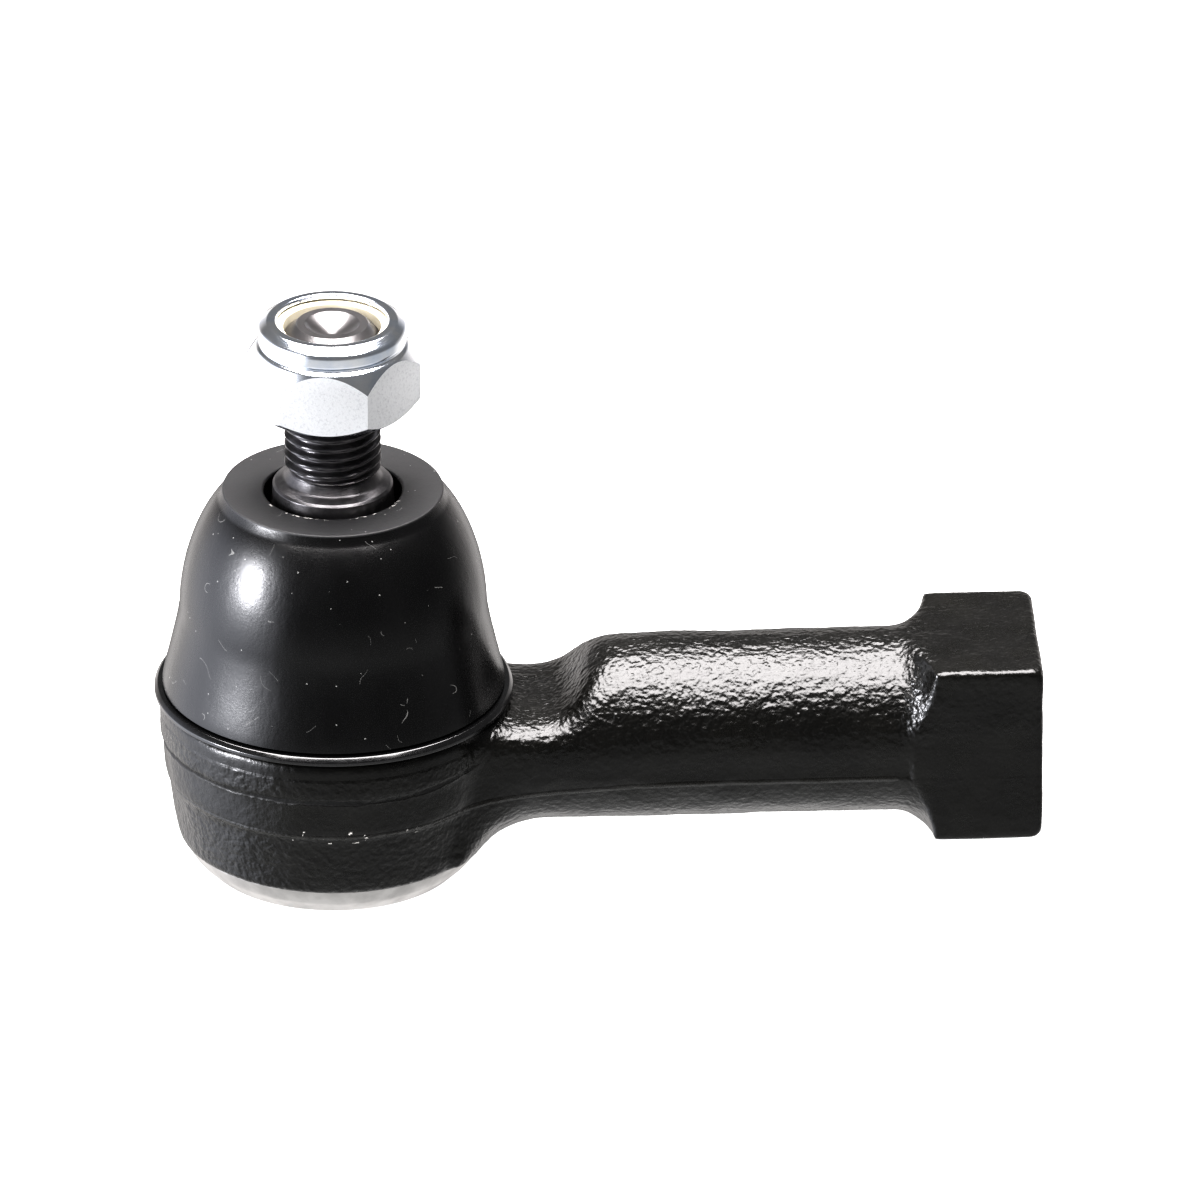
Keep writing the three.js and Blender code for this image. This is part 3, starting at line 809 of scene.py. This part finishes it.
class TIEROD_OT_ball_seats(bpy.types.Operator):
    """Models the plate, the spring and the two seats that hold the ball"""

    bl_idname = "tierod.ball_seats"
    bl_label = "Ball seats"

    def execute(self, context):
        plastic = moulded_plastic("bearing_plastic", (0.78, 0.75, 0.66))
        bore = 11.3 * MM
        outer = UPPER_HIGH.x
        edge = math.asin((UPPER_HIGH.z - BALL_HEIGHT) / outer)
        upper = turned("upper_bearing_seat", [
            *arc(0, BALL_HEIGHT, bore, edge, 0.02),
            *arc(0, BALL_HEIGHT, outer, 0.02, edge)], steps=96)
        hole = 6 * MM
        low_edge = -math.acos(hole / bore)
        lower = turned("lower_bearing_seat", [
            (hole, LOWER_LOW.z), (outer - 0.4 * MM, LOWER_LOW.z), (outer, LOWER_LOW.z + 0.4 * MM),
            (outer, LOWER_HIGH.z), *arc(0, BALL_HEIGHT, bore, -0.014, low_edge, 16)], steps=96)
        for seat, body, node in ((upper, "body_housing", "upper_bearing_seat"),
                                 (lower, "body_heading", "lower_bearing_seat")):
            place(finish_shape(seat), plastic, body, "bearing_plastic", node)

        inner, rim = 6.5 * MM, SPRING_HIGH.x
        leaf = 0.9 * MM
        spring = turned("preload_spring", rounded([
            (inner, SPRING_HIGH.z - leaf, 0.2 * MM), (rim, SPRING_LOW.z, 0.2 * MM),
            (rim, SPRING_LOW.z + leaf, 0.2 * MM), (inner, SPRING_HIGH.z, 0.2 * MM)]), steps=96)
        place(finish_shape(spring), spring_steel(), "body_housing", "spring_steel", "preload_spring")

        flange, thick = PLATE_HIGH.x, 1.8 * MM
        dish = 11.4 * MM
        plate = turned("closing_plate", rounded([
            (0, 0), (dish, 0, 1.2 * MM), (dish, 2 * MM, 0.2 * MM), (flange, 2 * MM, 0.3 * MM),
            (flange, 2 * MM + thick, 0.3 * MM), (dish - 0.6 * MM, 2 * MM + thick, 0.9 * MM),
            (dish - 0.9 * MM, thick, 0.3 * MM), (0, thick)]), steps=144)
        steel = bare_steel("plate_steel", (0.45, 0.45, 0.46))
        place(finish_shape(plate), steel, "body_housing", "bare_steel", "closing_plate")
        return {"FINISHED"}


# -------------------------------- ball stud

class TIEROD_OT_ball_stud(bpy.types.Operator):
    """Models the ball, the taper and the rolled thread of the stud"""

    bl_idname = "tierod.ball_stud"
    bl_label = "Ball stud"

    def execute(self, context):
        s = context.scene.tierod_stud
        steel = phosphated_steel(tuple(s.phosphate), STUD_HIGH.z)
        place(self.shape(s), steel, "body_stud", "phosphated_steel", "ball_stud")
        return {"FINISHED"}

    def shape(self, s):
        ball, neck = 11 * MM, 6 * MM
        top = STUD_HIGH.z
        major = s.thread_diameter / 2
        root = major - THREAD_DEPTH * s.thread_pitch
        taper_top, taper_low = 51.3 * MM, 34.1 * MM
        runout_top = taper_top + 1.9 * MM
        rows = int((top - runout_top) / s.thread_pitch * 12)
        thread_end = top - 0.75 * MM
        thread = [(root, runout_top + (thread_end - runout_top) * i / rows) for i in range(rows)]
        small = 7.45 * MM
        stud = turned("ball_stud", [
            *rounded([(0, STUD_LOW.z), (4.5 * MM, STUD_LOW.z, 0.4 * MM),
                      (4.9 * MM, STUD_LOW.z + 0.2 * MM)]),
            *arc(0, BALL_HEIGHT, ball, -1.1, 0.98, 24),
            *rounded([(neck + 0.02 * MM, BALL_HEIGHT + 9.3 * MM, 0),
                      (neck, BALL_HEIGHT + 15.5 * MM, 1.2 * MM),
                      (small + (taper_top - taper_low) / 16, taper_low, 2 * MM),
                      (small, taper_top, 0.12 * MM),
                      (small - 0.3 * MM, taper_top + 0.3 * MM, 0.15 * MM),
                      (small - 1.3 * MM, taper_top + 0.75 * MM, 1.2 * MM),
                      (root, runout_top - 0.1 * MM)])[:-1],
            *thread,
            (root, thread_end), (4.5 * MM, top - 0.08 * MM), (4.4 * MM, top), (3.4 * MM, top),
            (3.2 * MM, top - 0.15 * MM), (0.55 * MM, top - 1.6 * MM), (0, top - 1.65 * MM)], steps=96)
        self.cut_thread(stud, s.thread_pitch, root, major, runout_top, top)
        return finish_shape(stud, 35)

    @staticmethod
    def cut_thread(stud, pitch, root, major, start, top):
        """Raises a right-handed helix on the core, fading in at its foot and chamfered at its end."""
        chamfer = 1.45 * MM
        for vertex in stud.data.vertices:
            x, y, z = vertex.co
            across = math.hypot(x, y)
            if z < start - 1e-6 or abs(across - root) > 0.01 * MM:
                continue
            tooth = thread_tooth(z / pitch - math.atan2(y, x) / TURN)
            fade = smooth_step(start - 0.4 * MM, start + 0.8 * MM, z)
            height = root + (major - root) * tooth * fade
            limit = major - max(0, z - (top - chamfer)) * 1.05
            grown = min(height, limit) / across
            vertex.co.x, vertex.co.y = x * grown, y * grown


# -------------------------------- lock nut

NUT_TURN = math.radians(9.5)        # how far a flat is turned from the square view of the shank


class TIEROD_OT_lock_nut(bpy.types.Operator):
    """Models the hexagon with its rolled collar, and the nylon ring that locks it"""

    bl_idname = "tierod.lock_nut"
    bl_label = "Lock nut"

    def execute(self, context):
        s = context.scene.tierod_nut
        place(self.shape(s), zinc_plate(tuple(s.zinc)), "body_nut", "zinc_plated_steel", "nut_body")
        bore = 6.05 * MM
        ring = turned("nylon_insert", rounded([
            (bore, INSERT_LOW.z, 0.2 * MM), (INSERT_HIGH.x, INSERT_LOW.z, 0.3 * MM),
            (INSERT_HIGH.x, INSERT_HIGH.z, 0.3 * MM), (bore, INSERT_HIGH.z, 0.15 * MM)]), steps=96)
        nylon = moulded_plastic("insert_nylon", tuple(s.nylon))
        place(finish_shape(ring), nylon, "body_nut_insert", "nylon", "nylon_insert")
        return {"FINISHED"}

    def shape(self, s):
        flat = s.across_flats / 2
        corner = flat / math.cos(math.radians(30))
        low, top = NUT_LOW.z, NUT_HIGH.z
        hex_top = low + 8.6 * MM
        collar = s.collar_diameter / 2
        mouth = 6.95 * MM
        over, face = corner + 0.05 * MM, flat - 0.1 * MM
        turning = turned("nut_body", rounded([
            (0, low), (face, low, 0.15 * MM), (over, low + 1.4 * MM, 0.3 * MM),
            (over, hex_top - 2.8 * MM, 0.5 * MM), (face, hex_top - 0.3 * MM, 0.8 * MM),
            (collar - 0.35 * MM, hex_top + 0.05 * MM, 0.25 * MM),
            (collar + 0.1 * MM, hex_top + 0.6 * MM, 0.6 * MM),
            (collar + 0.05 * MM, top - 0.9 * MM, 0.9 * MM), (collar - 1.2 * MM, top, 0.7 * MM),
            (mouth, top, 0.25 * MM), (mouth, top - 1.2 * MM), (0, top - 1.2 * MM)],
            steps=6), steps=144)
        turn = -math.pi / 2 - NUT_TURN
        angles = [turn + (i + 0.5) * TURN / 6 for i in range(6)]
        hexagon = [(corner * math.cos(a), corner * math.sin(a), low - MM) for a in angles]
        combine(turning, prism("hexagon", hexagon, (0, 0, top - low + 2 * MM)), "INTERSECT")
        bore, chamfer = 6.0 * MM, 7.1 * MM
        seat, ledge, lip = INSERT_HIGH.x + 0.3 * MM, INSERT_LOW.z - 0.2 * MM, top - 0.6 * MM
        combine(turning, turned("nut_room", [
            (0, low - MM), (chamfer, low - MM), (chamfer, low), (bore, low + 0.9 * MM),
            (bore, ledge), (seat, ledge), (seat, lip),
            (mouth, lip), (mouth, top + MM), (0, top + MM)], steps=96), "DIFFERENCE")
        modify(turning, "BEVEL", width=0.14 * MM, segments=3, limit_method="ANGLE",
               angle_limit=math.radians(20))
        self.mark_flats(turning, low, hex_top)
        return finish_shape(turning, 28)

    @staticmethod
    def mark_flats(nut, low, high):
        """Marks the faces that stand upright on the hexagon, for the finish to read."""
        flats = nut.data.attributes.new(FLATS, "FLOAT", "FACE")
        for face in nut.data.polygons:
            upright = abs(face.normal.z) < 0.02 and low < face.center.z < high
            outside = math.hypot(face.center.x, face.center.y) > 9.3 * MM
            flats.data[face.index].value = float(upright and outside)


# -------------------------------- dust boot

RIM_BEVEL = Vector((0.45, 1.15)) * MM   # how far the steep bevel under the flat top reaches out and down


def bezier(points, steps):
    """A curve from the first point to the last, drawn by the points between."""
    curve = []
    for i in range(steps + 1):
        t = i / steps
        level = [Vector(p) for p in points]
        while len(level) > 1:
            level = [a.lerp(b, t) for a, b in zip(level, level[1:])]
        curve.append(tuple(level[0]))
    return curve


class TIEROD_OT_dust_boot(bpy.types.Operator):
    """Models the rubber boot with the ring at its foot and the rings hidden in its top"""

    bl_idname = "tierod.dust_boot"
    bl_label = "Dust boot"

    def execute(self, context):
        s = context.scene.tierod_boot
        boot = self.shape(s)
        coat(boot, boot_rubber(tuple(s.rubber), BOOT_HIGH.z))
        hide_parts("dust_boot")
        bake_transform(boot)
        self.rings(s)
        return {"FINISHED"}

    def shape(self, s):
        low, top = BOOT_LOW.z, BOOT_HIGH.z
        rim = s.top_diameter / 2
        outside = self.side(low, top, rim, 0)
        inside = self.side(low, top, rim, s.wall)
        under = top - 2.8 * MM
        inner = [p for p in reversed(inside) if low + 2.6 * MM < p[1] < under - 0.2 * MM]
        foot = 16.64 * MM
        hole, sleeve = 8.45 * MM, 9.75 * MM
        lip_low = top - 6.4 * MM
        lip = 8.15 * MM
        rim_round = rounded([outside[-1], (rim, top, 0.18 * MM), (hole + 3 * MM, top - 0.04 * MM)])
        outline = [
            (foot, low), *outside, *rim_round[1:],
            *rounded([(hole + 2.4 * MM, top - 0.05 * MM), (hole, top - 0.12 * MM, 0.45 * MM),
                      (hole, lip_low + 3.6 * MM, 0.6 * MM), (lip, lip_low + 1.9 * MM, 0.4 * MM),
                      (lip, lip_low, 0.25 * MM), (sleeve, lip_low, 0.3 * MM), (sleeve, under, 0.3 * MM),
                      (inner[0][0] - 0.4 * MM, under, 0.5 * MM), inner[0]])[:-1],
            *inner, (foot, low + 2.4 * MM)]
        return finish_shape(turned("dust_boot", outline, steps=160), 40)

    @staticmethod
    def side(low, top, rim, inset):
        """The rubber's side: a flared skirt over the ring, a waist, and a dome up to the flat top."""
        waist, waist_height = 19.05 * MM - inset, low + 10.4 * MM
        foot = 21.2 * MM - inset
        edge = rim + RIM_BEVEL.x - inset / 2
        shoulder = top - RIM_BEVEL.y - inset
        skirt = bezier([(foot, low), (foot - 0.05 * MM, low + 1.2 * MM),
                        (waist + 0.45 * MM, waist_height - 3.6 * MM), (waist, waist_height)], 10)
        dome = bezier([(waist, waist_height), (waist - 0.2 * MM, waist_height + 7.4 * MM),
                       (edge + 2 * MM, shoulder - 2.1 * MM), (edge, shoulder)], 22)
        return skirt + dome[1:]

    def rings(self, s):
        """The flanged ring at the boot's foot, and the washer and wire in its top."""
        thick = 1 * MM
        low, high = RING_LOW.z, RING_HIGH.z
        outer, bore = RING_HIGH.x, 15.35 * MM
        base = turned("boot_base_ring", rounded([
            (bore, low, 0.1 * MM), (outer, low, 0.15 * MM), (outer, low + 0.5 * MM, 0.2 * MM),
            (outer - 0.45 * MM, low + thick, 0.25 * MM), (bore + thick, low + thick, 0.15 * MM),
            (bore + thick, high, 0.2 * MM), (bore, high, 0.2 * MM)]), steps=192)
        place(finish_shape(base), ring_coat(tuple(s.ring)), "body_housing", "black_steel", "boot_base_ring")
        steel = spring_steel()
        inner = 10.1 * MM
        washer = turned("boot_top_ring", rounded([
            (inner, WASHER_LOW.z, 0.15 * MM), (WASHER_HIGH.x, WASHER_LOW.z, 0.15 * MM),
            (WASHER_HIGH.x, WASHER_HIGH.z, 0.15 * MM), (inner, WASHER_HIGH.z, 0.15 * MM)]), steps=96)
        wire = (CLIP_HIGH.z - CLIP_LOW.z) / 2
        middle = (CLIP_HIGH.z + CLIP_LOW.z) / 2
        section = arc(CLIP_HIGH.x - wire, middle, wire, 0, TURN, 16)[:-1]
        clip = turned("boot_lip_clip", section, steps=96)
        for ring, node in ((washer, "boot_top_ring"), (clip, "boot_lip_clip")):
            place(finish_shape(ring), steel, "body_boot_lip", "spring_steel", node)


# -------------------------------- studio

VIEW_SIDE = math.radians(3.34)      # the camera stands a little to the left of the shank's square view
VIEW_DOWN = math.radians(26.45)
FRAME_WIDTH_SHOWN = 148.9 * MM      # how much of the object's own plane the picture spans
FRAME_ASIDE = 32.97 * MM            # from the foot of the stud to the picture's middle
FRAME_ABOVE = 31.37 * MM
FLOOR_SIZE = 12                     # metres, like the dome's radius
FLOOR_DROP = 0.02 * MM              # how far the floor lies under the object
DOME_RADIUS = 6
SENSOR = 36                         # millimetres, like the lens


class TIEROD_OT_studio(bpy.types.Operator):
    """Sets the floor, the soft lights and the camera"""

    bl_idname = "tierod.studio"
    bl_label = "Studio"

    def execute(self, context):
        s = context.scene.tierod_studio
        self.floor(s)
        self.camera(context.scene, s)
        self.lights(context.scene)
        context.scene.view_settings.view_transform = "Standard"
        context.scene.view_settings.look = "High Contrast"
        return {"FINISHED"}

    def floor(self, s):
        """A pale floor under a pale dome. Neither is mirrored in the pieces: the sky is."""
        bpy.ops.object.select_all(action="DESELECT")
        bpy.ops.mesh.primitive_plane_add(size=FLOOR_SIZE, location=(0, 0, -FLOOR_DROP))
        plane = bpy.context.object
        plane.name = "floor"
        finish = Finish("studio_floor")
        mottle = finish.noise(0.4, detail=2)
        pale_grey = finish.mix(mottle, tuple(s.floor), scaled(s.floor, 0.98))
        finish.set(base_color=pale_grey, roughness=0.9, specular_ior_level=0.1,
                   emission_color=(1, 1, 1), emission_strength=0.8)
        coat(plane, finish)
        plane.visible_glossy = False
        bpy.ops.object.select_all(action="DESELECT")
        bpy.ops.mesh.primitive_uv_sphere_add(segments=48, ring_count=24, radius=DOME_RADIUS)
        dome = bpy.context.object
        dome.name = "backdrop"
        pale = Finish("studio_backdrop")
        pale.set(base_color=(0, 0, 0), roughness=1.0, emission_color=(1, 1, 1), emission_strength=1.0)
        coat(dome, pale)
        for ray in ("glossy", "diffuse", "transmission", "shadow"):
            setattr(dome, "visible_" + ray, False)

    def camera(self, scene, s):
        across = Vector((math.cos(VIEW_SIDE), -math.sin(VIEW_SIDE), 0))
        ahead = Vector((math.sin(VIEW_SIDE) * math.cos(VIEW_DOWN),
                        math.cos(VIEW_SIDE) * math.cos(VIEW_DOWN), -math.sin(VIEW_DOWN)))
        up = across.cross(ahead)
        aim = across * FRAME_ASIDE + up * FRAME_ABOVE
        bpy.ops.object.camera_add(location=aim - ahead * s.distance,
                                  rotation=Euler((math.pi / 2 - VIEW_DOWN, 0, -VIEW_SIDE)))
        camera = bpy.context.object
        camera.data.sensor_width = SENSOR
        camera.data.lens = SENSOR * s.distance / FRAME_WIDTH_SHOWN
        camera.data.clip_end = 20
        scene.camera = camera

    def lights(self, scene):
        self.sky(scene)
        middle = Vector((20 * MM, 0, 25 * MM))
        for name, direction, distance, size, power, tint in (
                ("left_softbox", (-0.94, -0.31, 0.2), 0.7, (0.2, 0.22), 5, (0.96, 0.96, 1)),
                ("top_softbox", (0.0, 0.035, 1.0), 0.8, (0.9, 0.85), 37, (1, 0.97, 0.97))):
            place_at = middle + Vector(direction).normalized() * distance
            facing = (middle - place_at).to_track_quat("-Z", "Y").to_euler()
            bpy.ops.object.light_add(type="AREA", location=place_at, rotation=facing)
            lamp = bpy.context.object
            lamp.name = name
            lamp.data.shape = "RECTANGLE"
            lamp.data.size, lamp.data.size_y = size
            lamp.data.energy = power
            lamp.data.color = tint

    @staticmethod
    def sky(scene):
        """What the pieces mirror: a floor that is paler straight below, a wall at the back, dark round the
        camera's line, and a soft box with its glow at the left."""
        world = bpy.data.worlds.new("studio")
        scene.world = world
        world.use_nodes = True
        f = Finish("studio", world.node_tree)
        down = (0 - f.axis("Z")).between(0, 1)
        left = (0 - f.axis("X")).between(0.6, 0.98) * (1 - f.axis("Z").between(0.1, 0.6))
        right = f.axis("X").between(0.2, 0.9)
        ahead = f.along(0.052, 0.894, -0.445).between(0.9, 0.99)
        behind = f.axis("Y").between(0.2, 0.85) * (1 - f.axis("Z").between(-0.1, 0.3)) * (1 - ahead)
        box = f.along(-0.937, -0.31, 0.16).between(0.72, 1)
        plain = 0.16 + (0.34 - 0.12 * right) * down.between(0, 0.3) + 0.4 * down ** 2
        glows = [((1, 1, 1), plain * (1 - 0.8 * ahead)), ((1, 0.95, 0.93), 0.95 * behind),
                 ((0.86, 0.89, 1), 2.2 * left), ((0.95, 0.96, 1), 5.8 * box ** 5)]
        shader = None
        for tint, strength in glows:
            glow = f.node("ShaderNodeBackground", {"Color": tint, "Strength": strength})
            shader = glow if shader is None else f.node("ShaderNodeAddShader", {0: shader, 1: glow})
        output = next(node for node in world.node_tree.nodes if node.type == "OUTPUT_WORLD")
        f.feed(output.inputs["Surface"], shader)


# -------------------------------- add-on

PIECE_OPERATORS = (TIEROD_OT_forging, TIEROD_OT_ball_seats, TIEROD_OT_ball_stud, TIEROD_OT_lock_nut,
                   TIEROD_OT_dust_boot, TIEROD_OT_studio)
GROUPS = {"tierod_forging": TIEROD_PG_forging, "tierod_stud": TIEROD_PG_stud, "tierod_nut": TIEROD_PG_nut,
          "tierod_boot": TIEROD_PG_boot, "tierod_studio": TIEROD_PG_studio}


class TIEROD_PT_panel(bpy.types.Panel):
    """Lists the pieces of the tie rod end"""

    bl_idname = "TIEROD_PT_panel"
    bl_label = "Tie Rod End"
    bl_space_type = "VIEW_3D"
    bl_region_type = "UI"
    bl_category = "Tie Rod End"

    def draw(self, context):
        for operator in PIECE_OPERATORS:
            self.layout.operator(operator.bl_idname)
        for name, group in GROUPS.items():
            box = self.layout.box()
            for key in group.__annotations__:
                box.prop(getattr(context.scene, name), key)


CLASSES = (*GROUPS.values(), *PIECE_OPERATORS, TIEROD_PT_panel)


def register():
    for cls in CLASSES:
        bpy.utils.register_class(cls)
    for name, group in GROUPS.items():
        setattr(bpy.types.Scene, name, PointerProperty(type=group))


def unregister():
    for name in GROUPS:
        delattr(bpy.types.Scene, name)
    for cls in reversed(CLASSES):
        bpy.utils.unregister_class(cls)


def main():
    register()
    bpy.ops.tierod.forging()
    bpy.ops.tierod.ball_seats()
    bpy.ops.tierod.ball_stud()
    bpy.ops.tierod.lock_nut()
    bpy.ops.tierod.dust_boot()
    bpy.ops.tierod.studio()


if __name__ == "__main__":
    main()
